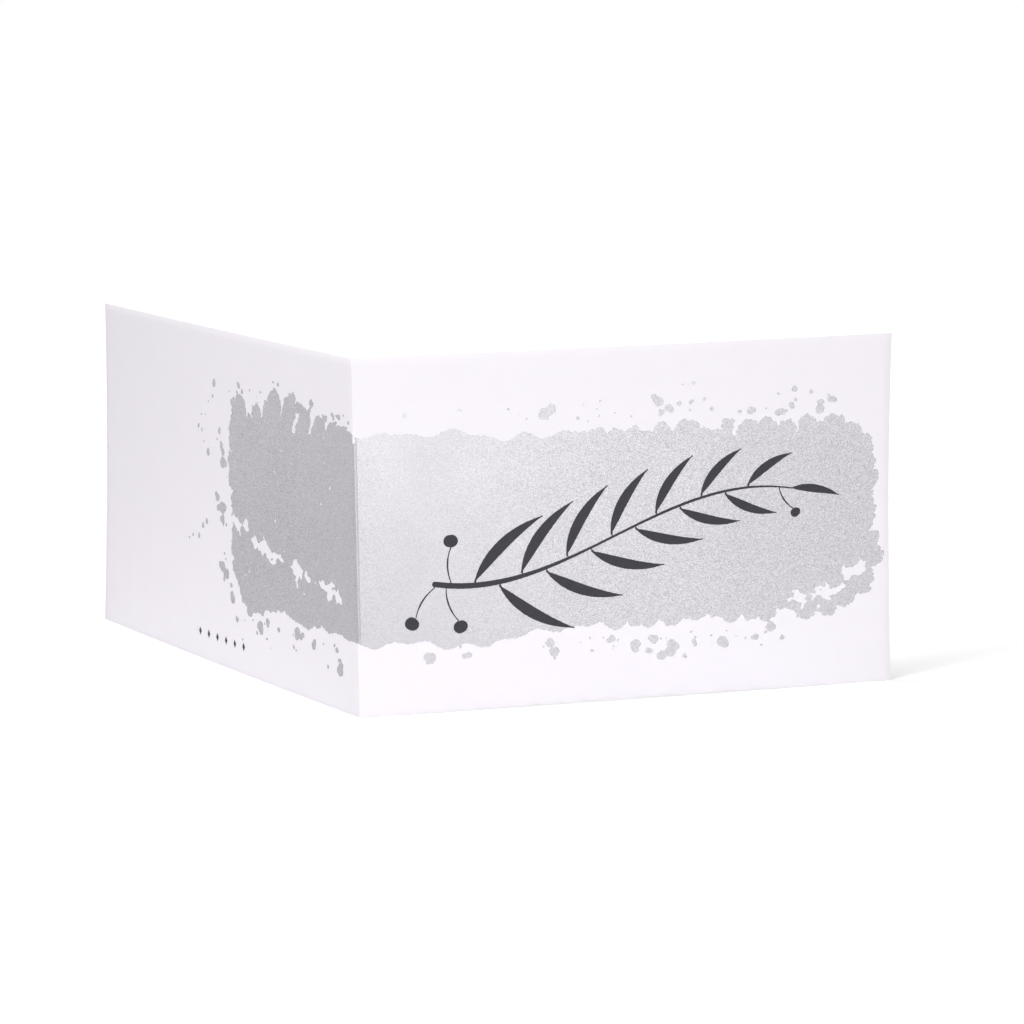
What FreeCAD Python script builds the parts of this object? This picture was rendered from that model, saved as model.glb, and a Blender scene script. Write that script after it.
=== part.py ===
import FreeCAD, Part

import math
import os

import Sketcher
from FreeCAD import Vector

# A greeting card standing open on its lower edges: one sheet of board, scored and folded
# upright, with a band of silver ink brushed around the fold and a sprig drawn over it in
# charcoal ink. The back cover carries a small row of lozenges in the same ink.
# The fold's foot is the origin. +Z is up, the card opens towards +Y, the front cover runs
# to +X and the back cover to -X. Lengths are millimetres and angles are degrees.

SIZES = [
    ("closed_width", 170.0, "fold to free edge"),
    ("card_height", 110.0, "foot to top edge"),
    ("board_thickness", 0.4, "board of 350 grams a square metre"),
    ("bend_radius", 0.3, "inside of the crease"),
    ("bead_radius", 0.45, "ridge that scoring leaves inside the crease"),
    ("opening_angle", 111.0, "between the covers at the foot"),
    ("cover_bulge", 0.85, "each cover bows outwards by this along its width"),
    ("front_curl_middle", 3.1, "front cover's free edge curls inwards by this at half height"),
    ("front_curl_top", 1.6, "and by this at its top corner"),
    ("back_curl_middle", 3.0, "back cover's free edge curls inwards by this at half height"),
    ("back_curl_top", 4.6, "and by this at its top corner"),
    ("ink_thickness", 0.1, "each layer of ink"),
    ("silver_front_reach", 166.0, "silver band across the front cover, from the fold"),
    ("silver_back_reach", 80.0, "silver band across the back cover, from the fold"),
    ("silver_low", 21.0, "lower edge of the band"),
    ("silver_high", 86.5, "upper edge of the band"),
    ("silver_corner", 17.0, "rounding of the band's corners"),
    ("silver_rag", 1.0, "depth of the band's ragged edge"),
    ("streak_length", 19.0, "bare streak that the brush left in the band"),
    ("streak_height", 1.8, "widest part of a streak"),
    ("fleck_length", 3.2, "longest fleck of silver beside the band"),
    ("stem_foot_across", 24.0, "cut end of the sprig's stem, from the fold"),
    ("stem_foot_up", 40.0, "and above the foot of the card"),
    ("stem_tip_across", 136.0, "tip of the stem, from the fold"),
    ("stem_tip_up", 63.0, "and above the foot of the card"),
    ("stem_sway", 16.0, "pull of the stem's two bends off a straight line"),
    ("stem_width", 1.5, "stem at its cut end"),
    ("leaf_length", 30.0, "longest leaf"),
    ("leaf_belly", 3.6, "widest part of a leaf"),
    ("leaf_angle", 42.0, "first leaf, away from the stem"),
    ("stroke_gap", 0.5, "bare silver between two strokes"),
    ("stalk_length", 10.0, "longest berry stalk"),
    ("berry_radius", 2.2, "berries of the sprig"),
    ("mark_up", 9.0, "middle of the row of lozenges, above the foot of the back cover"),
    ("lozenge_height", 2.8, "one lozenge"),
    ("lozenge_pitch", 5.8, "from one lozenge to the next"),
]

# waves round the silver band's edge, each a count of waves, a share of the depth and a start
RAG_WAVES = [(7, 0.9, 0.4), (17, 0.8, 2.2), (31, 0.7, 4.1), (53, 0.6, 1.0)]
RAG_POINTS = 212
# bare streaks in the band: across from the fold, up, and a share of the longest streak
STREAKS = [(-52.0, 41.0, 1.0), (-27.0, 36.5, 0.7), (-62.0, 64.0, 0.35)]
# flecks keep off the free edge: they start at the top of the front and go round by the back
FLECKS = 16
FLECKS_FROM = 0.5
FLECKS_SPAN = 0.83
GOLDEN_SHARE = 0.618034
LEAVES = 13
# berries beside the stem: a share of its length, a side and degrees away from it
BERRIES = [(0.03, -1, 62.0), (0.0, -1, 112.0), (0.04, 1, 96.0), (0.97, -1, 48.0)]
LOZENGES = 6

doc = FreeCAD.newDocument("greeting_card")
sheet = doc.addObject("Spreadsheet::Sheet", "sizes")
for row, (alias, value, meaning) in enumerate(SIZES, start=1):
    sheet.set(f"A{row}", meaning)
    sheet.set(f"B{row}", str(value))
    sheet.setAlias(f"B{row}", alias)
doc.recompute()


def size(alias):
    return float(sheet.get(alias))


# The sheet's outer face is drawn as a spine of three tangent arcs, back cover, bend and front
# cover, at the foot, at half height and at the top edge.

OUTER_BEND = "(sizes.bend_radius + sizes.board_thickness)"
CHORD = f"(sizes.closed_width - {OUTER_BEND})"
COVER_RADIUS = f"({CHORD}^2 / (8 * sizes.cover_bulge) + sizes.cover_bulge / 2)"
HALF_TURN = "(180 - sizes.opening_angle) / 2 * 1 deg"

outer_bend = size("bend_radius") + size("board_thickness")
chord = size("closed_width") - outer_bend
cover_radius = chord**2 / (8 * size("cover_bulge")) + size("cover_bulge") / 2
cover_half_arc = math.degrees(math.asin(chord / 2 / cover_radius))
half_turn = (180 - size("opening_angle")) / 2


def polar(radius, angle):
    return Vector(radius * math.cos(math.radians(angle)), radius * math.sin(math.radians(angle)), 0)


def arc(centre, radius, start, end):
    circle = Part.Circle(centre, Vector(0, 0, 1), radius)
    return Part.ArcOfCircle(circle, math.radians(start), math.radians(end))


def turned(curl):
    """A cover's angle from the X axis in degrees, and as an expression."""
    if curl is None:
        return half_turn, HALF_TURN
    angle = half_turn + math.degrees(size(curl) / chord)
    return angle, f"({HALF_TURN} + sizes.{curl} / {CHORD} * 1 rad)"


def spine_sketch(name, height_share, front_curl, back_curl):
    sketch = doc.addObject("Sketcher::SketchObject", name)
    front_angle, front_expression = turned(front_curl)
    back_angle, back_expression = turned(back_curl)
    front_start = front_angle - cover_half_arc - 90
    back_start = cover_half_arc - back_angle - 90
    bend_centre = Vector(0, outer_bend, 0)
    front_joint = bend_centre + polar(outer_bend, front_start)
    back_joint = bend_centre + polar(outer_bend, back_start)
    front_centre = front_joint - polar(cover_radius, front_start)
    back_centre = back_joint - polar(cover_radius, back_start)
    front_end = front_start + 2 * cover_half_arc
    back_end = back_start - 2 * cover_half_arc

    back = sketch.addGeometry(arc(back_centre, cover_radius, back_end, back_start))
    bend = sketch.addGeometry(arc(bend_centre, outer_bend, back_start, front_start))
    front = sketch.addGeometry(arc(front_centre, cover_radius, front_start, front_end))
    front_edge = front_centre + polar(cover_radius, front_end)
    back_edge = back_centre + polar(cover_radius, back_end)
    front_chord = sketch.addGeometry(Part.LineSegment(front_joint, front_edge), True)
    back_chord = sketch.addGeometry(Part.LineSegment(back_joint, back_edge), True)

    start, end, middle = 1, 2, 3
    front_slope = math.radians(front_angle)
    back_slope = math.radians(180 - back_angle)
    for kind, *places in [
        ("Tangent", bend, end, front, start),
        ("Tangent", back, end, bend, start),
        ("PointOnObject", bend, middle, -2),
        ("Coincident", front_chord, start, front, start),
        ("Coincident", front_chord, end, front, end),
        ("Coincident", back_chord, start, back, end),
        ("Coincident", back_chord, end, back, start),
    ]:
        sketch.addConstraint(Sketcher.Constraint(kind, *places))
    for word, expression, kind, *places in [
        ("bend_radius", OUTER_BEND, "Radius", bend, outer_bend),
        ("bend_centre", OUTER_BEND, "DistanceY", -1, 1, bend, middle, outer_bend),
        ("front_radius", COVER_RADIUS, "Radius", front, cover_radius),
        ("back_radius", COVER_RADIUS, "Radius", back, cover_radius),
        ("front_chord", CHORD, "Distance", front_chord, chord),
        ("back_chord", CHORD, "Distance", back_chord, chord),
        ("front_angle", front_expression, "Angle", front_chord, front_slope),
        ("back_angle", f"180 deg - {back_expression}", "Angle", back_chord, back_slope),
    ]:
        index = sketch.addConstraint(Sketcher.Constraint(kind, *places))
        sketch.renameConstraint(index, word)
        sketch.setExpression(f".Constraints.{word}", expression)
    sketch.setExpression(".Placement.Base.z", f"sizes.card_height * {height_share}")
    return sketch


spines = [
    spine_sketch("spine_foot", 0, None, None),
    spine_sketch("spine_middle", 0.5, "front_curl_middle", "back_curl_middle"),
    spine_sketch("spine_top", 1, "front_curl_top", "back_curl_top"),
]


# A layer is lofted through a band beside each spine: the board on the inner side, the inks on
# the outer side.

def offset_from(source, name, distance, filled):
    offset = doc.addObject("Part::Offset2D", name)
    offset.Source = source
    offset.Mode = "Skin"
    offset.Fill = filled
    offset.setExpression("Value", distance)
    return offset


def layer(name, sources, distance):
    bands = [offset_from(source, f"{name}_{source.Name}", distance, True) for source in sources]
    loft = doc.addObject("Part::Loft", name)
    loft.Sections = bands
    loft.Solid = True
    return loft


board = layer("board", spines, "-sizes.board_thickness")
first_ink = layer("first_ink", spines, "sizes.ink_thickness")
raised = [offset_from(spine, f"raised_{spine.Name}", "sizes.ink_thickness", False) for spine in spines]
second_ink = layer("second_ink", raised, "sizes.ink_thickness")

bead = doc.addObject("Part::Cylinder", "crease_bead")
bead.setExpression("Radius", "sizes.bead_radius")
bead.setExpression("Height", "sizes.card_height")
bead.setExpression(".Placement.Base.y", OUTER_BEND)
card = doc.addObject("Part::Fuse", "card")
card.Base = board
card.Tool = bead


# The printing is drawn on the flat sheet, as a place across from the fold and a place up, and
# narrowed by the covers' slant so that it can be pushed through the standing card along Y.

def seen(across, up):
    return Vector(across * math.cos(math.radians(half_turn)), 0, up)


def face_of(*curves):
    return Part.Face(Part.Wire([curve.toShape() for curve in curves]))


def lens(root, tip, belly, curl):
    """A stroke of two arcs between two (across, up) points, bowed to the left by curl."""
    run = (tip[0] - root[0], tip[1] - root[1])
    length = math.hypot(*run)
    left = (-run[1] / length, run[0] / length)
    middle = ((root[0] + tip[0]) / 2, (root[1] + tip[1]) / 2)
    near, far = (
        seen(middle[0] + left[0] * bow, middle[1] + left[1] * bow)
        for bow in (curl - belly / 2, curl + belly / 2)
    )
    return face_of(Part.Arc(seen(*root), near, seen(*tip)), Part.Arc(seen(*tip), far, seen(*root)))


def band_edge(share):
    """Point and outward direction at a share of the way round the silver band's plain shape."""
    corner = size("silver_corner")
    left, right = -size("silver_back_reach"), size("silver_front_reach")
    low, high = size("silver_low"), size("silver_high")
    runs = [right - left - 2 * corner, high - low - 2 * corner] * 2
    quarter = math.pi / 2 * corner
    distance = share * (sum(runs) + 4 * quarter)
    point = Vector(left + corner, low, 0)
    for side, run in enumerate(runs):
        heading = 90 * side
        if distance <= run:
            return point + polar(distance, heading), polar(1, heading - 90)
        distance -= run
        point += polar(run, heading)
        centre = point + polar(corner, heading + 90)
        if distance <= quarter:
            outward = polar(1, heading - 90 + math.degrees(distance / corner))
            return centre + outward * corner, outward
        distance -= quarter
        point = centre + polar(corner, heading)


def silver_outline():
    points = []
    for index in range(RAG_POINTS):
        share = index / RAG_POINTS
        point, outward = band_edge(share)
        rag = sum(
            weight * math.sin(2 * math.pi * count * share + start)
            for count, weight, start in RAG_WAVES
        )
        point += outward * rag * size("silver_rag")
        points.append(seen(point.x, point.y))
    return Part.makePolygon(points + points[:1])


def silver_drawing():
    half_streak = size("streak_length") / 2
    shape = Part.Face(silver_outline())
    for across, up, share in STREAKS:
        root = (across - half_streak * share, up)
        tip = (across + half_streak * share, up)
        shape = shape.cut(lens(root, tip, size("streak_height"), 0.3 * size("streak_height")))
    deepest = size("silver_rag") * sum(weight for _, weight, _ in RAG_WAVES)
    faces = list(shape.Faces)
    for index in range(FLECKS):
        share = (FLECKS_FROM + FLECKS_SPAN * ((index * GOLDEN_SHARE) % 1)) % 1
        drift = (index * GOLDEN_SHARE**2 * 5) % 1
        length = size("fleck_length") * (1 - 0.7 * drift)
        point, outward = band_edge(share)
        point += outward * (deepest + size("fleck_length") * (0.2 + drift))
        centre = seen(point.x, point.y)
        along = Vector(math.cos(7 * drift), 0, math.sin(7 * drift)) * (length / 2)
        across = Vector(-along.z, 0, along.x) * 0.55
        faces.append(face_of(Part.Ellipse(centre + along, centre + across, centre)))
    return Part.Compound(faces)


def stem_at(share):
    """Point and direction of the sprig's stem, an S of one cubic curve."""
    foot = Vector(size("stem_foot_across"), size("stem_foot_up"), 0)
    tip = Vector(size("stem_tip_across"), size("stem_tip_up"), 0)
    run = tip - foot
    left = Vector(-run.y, run.x, 0).normalize()
    sway = left * size("stem_sway")
    pulls = [foot, foot + run * (1 / 3) - sway, foot + run * (2 / 3) + sway, tip]
    rest = 1 - share
    weights = [rest**3, 3 * rest**2 * share, 3 * rest * share**2, share**3]
    point = sum((pull * weight for pull, weight in zip(pulls, weights)), Vector())
    slopes = [rest**2, 2 * rest * share, share**2]
    steps = [after - before for before, after in zip(pulls, pulls[1:])]
    along = sum((step * slope for step, slope in zip(steps, slopes)), Vector()).normalize()
    return point, along


def stem_half_width(share):
    return size("stem_width") / 2 * (1 - 0.7 * share)


def stem_face():
    spots = 12
    sides = [[], []]
    for index in range(spots + 1):
        point, along = stem_at(index / spots)
        left = Vector(-along.y, along.x, 0) * stem_half_width(index / spots)
        for side, place in zip(sides, (point + left, point - left)):
            side.append(seen(place.x, place.y))
    curves = []
    for side in sides:
        curve = Part.BSplineCurve()
        curve.interpolate(side)
        curves.append(curve)
    ends = [Part.LineSegment(sides[0][-1], sides[1][-1]), Part.LineSegment(sides[1][0], sides[0][0])]
    return face_of(curves[0], ends[0], curves[1], ends[1])


def beside_stem(share, side, splay):
    """Where a stroke starts beside the stem, and the direction in which it leaves."""
    point, along = stem_at(share)
    left = Vector(-along.y, along.x, 0)
    lean = math.radians(splay) * side
    heading = along * math.cos(lean) + left * math.sin(lean)
    root = point + left * side * (stem_half_width(share) + size("stroke_gap"))
    return root, heading


def stroke(root, heading, length, belly, curl):
    tip = root + heading * length
    return lens((root.x, root.y), (tip.x, tip.y), belly, curl)


def sprig_drawing():
    faces = [stem_face()]
    for index in range(LEAVES):
        side = 1 if index % 2 == 0 else -1
        share = (index + 1.6) / (LEAVES + 2.4)
        shrink = 1 - 0.5 * share
        root, heading = beside_stem(share, side, size("leaf_angle") * (1 - 0.3 * share))
        length = size("leaf_length") * shrink
        belly = size("leaf_belly") * (1 - 0.3 * share)
        faces.append(stroke(root, heading, length, belly, 0.08 * length * side))
    for share, side, splay in BERRIES:
        root, heading = beside_stem(share, side, splay)
        radius = size("berry_radius") * (1 - 0.3 * share)
        stalk = size("stalk_length") * (1 - 0.3 * share)
        faces.append(stroke(root, heading, stalk, size("stroke_gap"), 0.1 * stalk * side))
        centre = root + heading * (stalk + size("stroke_gap") + radius)
        faces.append(face_of(Part.Circle(seen(centre.x, centre.y), Vector(0, -1, 0), radius)))
    point, along = stem_at(1)
    length = 0.5 * size("leaf_length")
    belly = 0.7 * size("leaf_belly")
    faces.append(stroke(point + along * size("stroke_gap"), along, length, belly, 0.06 * length))
    return Part.Compound(faces)


def mark_drawing():
    faces = []
    half_high = size("lozenge_height") / 2
    half_wide = 0.6 * half_high
    cover_middle = -size("closed_width") / 2
    for index in range(LOZENGES):
        across = cover_middle + (index - (LOZENGES - 1) / 2) * size("lozenge_pitch")
        corners = [(0, -half_high), (half_wide, 0), (0, half_high), (-half_wide, 0)]
        points = [seen(across + right, size("mark_up") + above) for right, above in corners]
        faces.append(Part.Face(Part.makePolygon(points + points[:1])))
    return Part.Compound(faces)


def printed(label, drawing, ink):
    """The part of an ink layer that lies behind a drawing."""
    drawn = doc.addObject("Part::Feature", f"{label}_drawing")
    drawn.Shape = drawing
    prism = doc.addObject("Part::Extrusion", f"{label}_prism")
    prism.Base = drawn
    prism.DirMode = "Custom"
    prism.Dir = Vector(0, 1, 0)
    prism.Solid = True
    prism.setExpression("LengthFwd", "sizes.closed_width")
    prism.setExpression("LengthRev", "sizes.closed_width")
    film = doc.addObject("Part::Common", label)
    film.Base = ink
    film.Tool = prism
    return film


parts = [
    card,
    printed("silver_band", silver_drawing(), first_ink),
    printed("ink_sprig", sprig_drawing(), second_ink),
    printed("back_mark", mark_drawing(), first_ink),
]
doc.recompute()

for thing in doc.Objects:
    if "Invalid" in thing.State or "Error" in thing.State:
        raise RuntimeError(f"{thing.Name} failed: {thing.State}")
os.makedirs("parts", exist_ok=True)
for part in parts:
    shape = part.Shape
    if shape.isNull() or not shape.isValid() or not shape.Solids:
        raise RuntimeError(f"{part.Label} has no valid solid")
for part in parts:
    box = part.Shape.BoundBox
    part.Shape.exportStep(f"parts/{part.Label}.step")
    print(f"{part.Label}: {len(part.Shape.Solids)} solids, {part.Shape.Volume:.1f} mm3, "
          f"{box.XLength:.1f} x {box.YLength:.1f} x {box.ZLength:.1f} mm")
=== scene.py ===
# %% [markdown]
# A greeting card standing open on its lower edges
#
# The real card is one sheet of white board, creased once and stood up like a tent on end. A band
# of silver ink was brushed round the fold and a sprig was drawn over it in charcoal ink. The
# construction model already holds the sheet, its crease and the plain shapes of the printing.
# This lesson dresses it: first the sheet, then the ragged silver, then the brush strokes, and
# last the light, because white board on a white floor is nearly all light.

import math

import bmesh
import bpy
import numpy as np
from mathutils import Matrix, Vector
from mathutils.geometry import delaunay_2d_cdt


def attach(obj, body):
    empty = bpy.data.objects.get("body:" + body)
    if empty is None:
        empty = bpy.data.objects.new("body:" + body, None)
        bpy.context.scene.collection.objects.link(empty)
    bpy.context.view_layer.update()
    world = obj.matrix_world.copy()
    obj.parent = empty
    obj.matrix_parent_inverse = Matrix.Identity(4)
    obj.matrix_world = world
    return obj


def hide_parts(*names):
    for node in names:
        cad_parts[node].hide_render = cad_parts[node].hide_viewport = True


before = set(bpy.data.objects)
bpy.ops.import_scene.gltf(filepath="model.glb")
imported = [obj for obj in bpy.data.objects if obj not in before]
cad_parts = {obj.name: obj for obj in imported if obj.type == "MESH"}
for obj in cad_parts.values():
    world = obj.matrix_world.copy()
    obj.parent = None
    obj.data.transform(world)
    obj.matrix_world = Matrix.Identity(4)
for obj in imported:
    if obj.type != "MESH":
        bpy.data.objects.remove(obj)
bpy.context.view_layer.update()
MILLIMETRE = 0.001
print("nodes in the frame:", sorted(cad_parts))

# %% [markdown]
# The sheet's form
#
# A creased card doesn't fold to a knife edge: its outer face runs round a small bend, and each
# cover then bows outwards a little and curls in towards its free edge, more at the top than at
# the foot. Every section at one height is three tangent arcs, so a formula places any point of
# the sheet. It is written once here, and the board and both inks stand on it.

# %% Sizes of the card in millimetres, the same as in the construction model
CLOSED_WIDTH = 170.0
CARD_HEIGHT = 110.0
BOARD_THICKNESS = 0.4
OUTER_BEND = 0.7
COVER_BULGE = 0.85
HALF_TURN = math.radians((180 - 111) / 2)
FRONT, BACK = 1, -1
CURLS = {FRONT: (3.1, 1.6), BACK: (3.0, 4.6)}

CHORD = CLOSED_WIDTH - OUTER_BEND
COVER_RADIUS = CHORD**2 / (8 * COVER_BULGE) + COVER_BULGE / 2
HALF_ARC = math.asin(CHORD / 2 / COVER_RADIUS)
FLAT_HALF = OUTER_BEND * (HALF_TURN - HALF_ARC) + 2 * HALF_ARC * COVER_RADIUS
print(f"half of the flat sheet is {FLAT_HALF:.2f} mm wide, and its covers bow on {COVER_RADIUS:.0f} mm")


# %% A cover's section at a height
def section(side, up):
    """Where a cover leaves the bend, as an angle, and the centre of its arc."""
    middle, top = CURLS[side]
    rise = up / CARD_HEIGHT
    curl = middle * 4 * rise * (1 - rise) + top * rise * (2 * rise - 1)
    slope = HALF_TURN + curl / CHORD
    start = slope - HALF_ARC
    sagged = COVER_RADIUS - COVER_BULGE
    centre_x = OUTER_BEND * np.sin(start) + CHORD / 2 * np.cos(slope) - sagged * np.sin(slope)
    centre_y = OUTER_BEND * (1 - np.cos(start)) + CHORD / 2 * np.sin(slope) + sagged * np.cos(slope)
    return start, slope, centre_x, centre_y


# %% [markdown]
# The crease
#
# A creasing rule is pressed into the board before it is folded. On the outside that leaves a
# flattened strip a little over a millimetre wide between two faint grooves, and on the inside a
# bead. All are far too shallow to model as pieces, so they are a small rise and fall of the faces.

# %% Depth of the crease outside and of its bead inside
GROOVE_PLACE = 0.7
GROOVE_WIDTH = 0.17
GROOVE_DEPTH = 0.09
BEAD_HEIGHT = 0.15
BEAD_HALF_WIDTH = 0.42


def crease(across):
    """How far the outer face stands out near the fold, in millimetres. In a groove it is negative."""
    return -GROOVE_DEPTH * np.exp(-(((np.abs(across) - GROOVE_PLACE) / GROOVE_WIDTH) ** 2))


def bead(across):
    """How far the inner face stands out over the crease."""
    reach = np.clip(np.abs(across) / BEAD_HALF_WIDTH, 0, 1)
    return BEAD_HEIGHT * np.cos(reach * math.pi / 2) ** 2


# %% Places on the sheet
def sheet_point(across, up, out):
    """A point of the sheet, measured along its outer face from the fold, then out from that face."""
    places = np.zeros(np.broadcast(across, up, out).shape + (3,))
    for side in (FRONT, BACK):
        start, slope, centre_x, centre_y = section(side, up)
        run = np.abs(across)
        turn = run / OUTER_BEND
        bend_x = (OUTER_BEND + out) * np.sin(turn)
        bend_y = OUTER_BEND - (OUTER_BEND + out) * np.cos(turn)
        swing = slope - HALF_ARC + (run - OUTER_BEND * start) / COVER_RADIUS
        cover_x = centre_x + (COVER_RADIUS + out) * np.sin(swing)
        cover_y = centre_y - (COVER_RADIUS + out) * np.cos(swing)
        on_bend = turn < start
        mine = across * side >= 0
        places[..., 0] = np.where(mine, side * np.where(on_bend, bend_x, cover_x), places[..., 0])
        places[..., 1] = np.where(mine, np.where(on_bend, bend_y, cover_y), places[..., 1])
    places[..., 2] = up
    return places * MILLIMETRE


def print_point(across, up, out):
    """A point of a print, which is laid on the standing card straight from the front."""
    places = np.zeros(np.broadcast(across, up, out).shape + (3,))
    x = np.abs(across) * math.cos(HALF_TURN)
    raised = out + crease(across)
    for side in (FRONT, BACK):
        start, _, centre_x, centre_y = section(side, up)
        on_bend = x < (OUTER_BEND + raised) * np.sin(start)
        bend_y = OUTER_BEND - np.sqrt(np.maximum((OUTER_BEND + raised) ** 2 - x**2, 0))
        cover_y = centre_y - np.sqrt((COVER_RADIUS + raised) ** 2 - (x - centre_x) ** 2)
        mine = across * side >= 0
        places[..., 1] = np.where(mine, np.where(on_bend, bend_y, cover_y), places[..., 1])
    places[..., 0] = np.sign(across) * x
    places[..., 2] = up
    return places * MILLIMETRE


# %% [markdown]
# From points to a piece
#
# Every piece here is a closed mesh: ink and board both have a thickness, however thin. One
# function makes the object, turns its normals outwards and keeps only its real edges sharp, so
# that the bowed faces shade smoothly.

# %% Make a piece from points and faces
SHARP_ANGLE = math.radians(35)


def make_piece(name, points, faces, materials):
    mesh = bpy.data.meshes.new(name)
    mesh.from_pydata([tuple(point) for point in points], [], faces)
    shape = bmesh.new()
    shape.from_mesh(mesh)
    bmesh.ops.recalc_face_normals(shape, faces=shape.faces)
    if shape.calc_volume(signed=True) < 0:
        bmesh.ops.reverse_faces(shape, faces=shape.faces)
    loose = [edge for edge in shape.edges if len(edge.link_faces) != 2]
    volume = shape.calc_volume() / MILLIMETRE**3
    shape.to_mesh(mesh)
    shape.free()
    mesh.shade_smooth()
    mesh.set_sharp_from_angle(angle=SHARP_ANGLE)
    for material in materials:
        mesh.materials.append(material)
    piece = bpy.data.objects.new(name, mesh)
    bpy.context.scene.collection.objects.link(piece)
    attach(piece, "root")
    print(f"{name}: {len(mesh.polygons)} faces, {volume:.1f} mm3, {len(loose)} open edges")
    return piece


# %% [markdown]
# Tools for the finishes
#
# Colours are written as sRGB hex values, as a printer would quote them, and turned to linear
# light for the shaders. One function adds a node with its settings and links. Patterns are
# sized from real millimetres.

# %% Colour, node and scale helpers
def linear(hex_colour):
    """An sRGB hex colour as linear red, green, blue and alpha."""
    parts = [int(hex_colour[place:place + 2], 16) / 255 for place in (1, 3, 5)]
    colour = [part / 12.92 if part <= 0.04045 else ((part + 0.055) / 1.055) ** 2.4 for part in parts]
    return colour + [1.0]


def add(tree, kind, inputs=None, **settings):
    """Adds a node. Inputs are values or other nodes' sockets, and settings are its properties."""
    node = tree.nodes.new(kind)
    for name, value in settings.items():
        setattr(node, name, value)
    for name, value in (inputs or {}).items():
        if isinstance(value, bpy.types.NodeSocket):
            tree.links.new(value, node.inputs[name])
        else:
            node.inputs[name].default_value = value
    return node


def new_material(name):
    """An empty material's node tree and its one shader, which feeds the output."""
    material = bpy.data.materials.new(name)
    material.use_nodes = True
    tree = material.node_tree
    tree.nodes.clear()
    shader = add(tree, "ShaderNodeBsdfPrincipled")
    add(tree, "ShaderNodeOutputMaterial", {"Surface": shader.outputs["BSDF"]})
    return material, tree, shader


def repeats(size_in_millimetres):
    """Texture scale at which a pattern repeats about once in that length."""
    return 1 / (size_in_millimetres * MILLIMETRE)


# %% [markdown]
# White board
#
# The sheet is uncoated white cartridge board of 350 grams a square metre: paper fibre felted on
# a wire and pressed, with a little blue-violet whitener in it. The eye sees a dead-matt white
# that leans to lilac, faint clouds where the fibre lies thicker, and a soft tooth. Single fibres
# are too fine to show at this distance, so the tooth is drawn at 0.5 mm.

# %% Matt board finish
CLOUD_SIZE = 9.0
TOOTH_SIZE = 0.5
TOOTH_DEPTH = 0.006


def board_finish(name, thin_colour, thick_colour, roughness):
    material, tree, shader = new_material(name)
    where = add(tree, "ShaderNodeTexCoord").outputs["Object"]
    clouds = add(tree, "ShaderNodeTexNoise", {
        "Vector": where, "Scale": repeats(CLOUD_SIZE), "Detail": 3.0,
    })
    colour = add(tree, "ShaderNodeMix", {"Factor": clouds.outputs["Fac"]}, data_type="RGBA")
    colour.inputs["A"].default_value = linear(thin_colour)
    colour.inputs["B"].default_value = linear(thick_colour)
    tooth = add(tree, "ShaderNodeTexNoise", {
        "Vector": where, "Scale": repeats(TOOTH_SIZE), "Detail": 2.0,
    })
    bump = add(tree, "ShaderNodeBump", {
        "Height": tooth.outputs["Fac"],
        "Strength": 0.5,
        "Distance": TOOTH_DEPTH * MILLIMETRE,
    })
    tree.links.new(colour.outputs["Result"], shader.inputs["Base Color"])
    tree.links.new(bump.outputs["Normal"], shader.inputs["Normal"])
    shader.inputs["Roughness"].default_value = roughness
    shader.inputs["IOR"].default_value = 1.5
    shader.inputs["Specular IOR Level"].default_value = 0.3
    return material


white_board = board_finish("uncoated_white_board", "#f6f2f8", "#f9f5fb", 0.9)
cut_board = board_finish("guillotined_board_edge", "#efebf0", "#f7f4f8", 0.95)

# %% [markdown]
# The folded sheet
#
# The sheet could be a plane with a Solidify modifier, but then its thickness would pinch at the
# crease. Here its outer and inner faces are two lattices of the same lines, joined round the
# rim by narrow rings that round off the cut edge. Lines crowd together at the fold, where the
# sheet turns in under a millimetre. The front cover's lower edge also lifts by a hair between
# its ends, as board does once it has been handled, and that leaves a fine dark line under it.

# %% Lines of the lattice
FOLD_STEP, FOLD_REACH = 0.07, 1.26
COVER_START, COVER_COLUMNS = 1.5, 60
ARCH_HEIGHT, ARCH_FADE = 0.5, 12.0
FOOT_ROWS = 9
REST_START, REST_ROWS = 15.0, 34
RIM_RADIUS = 0.07
RIM_STEPS = 3


def both_sides(lines):
    """Distances from the fold, repeated on the other cover."""
    lines = np.asarray(lines)
    return np.concatenate([-lines[:0:-1], lines])


fold_lines = np.arange(0, FOLD_REACH, FOLD_STEP)
cover_lines = np.linspace(COVER_START, FLAT_HALF, COVER_COLUMNS)
ACROSS_LINES = both_sides(np.concatenate([fold_lines, cover_lines]))
foot_lines = np.linspace(0, ARCH_FADE, FOOT_ROWS)
UP_LINES = np.concatenate([foot_lines, np.linspace(REST_START, CARD_HEIGHT, REST_ROWS)])
print(f"the lattice has {len(ACROSS_LINES)} columns and {len(UP_LINES)} rows")


# %% Build the sheet
def rim_rings():
    """Inset from the cut edge and depth below the outer face, from one face round to the other."""
    rings = []
    for step in range(RIM_STEPS):
        turn = math.pi / 2 * step / (RIM_STEPS - 1)
        rings.append((RIM_RADIUS * (1 - math.sin(turn)), RIM_RADIUS * (1 - math.cos(turn))))
    return rings + [(inset, BOARD_THICKNESS - depth) for inset, depth in reversed(rings)]


def arch(across, up):
    """Lift of the front cover's lower edge between its two ends."""
    along = np.clip(across / FLAT_HALF, 0, 1)
    fade = np.clip(1 - up / ARCH_FADE, 0, 1)
    return ARCH_HEIGHT * np.sin(math.pi * along) ** 2 * fade**2


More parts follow.
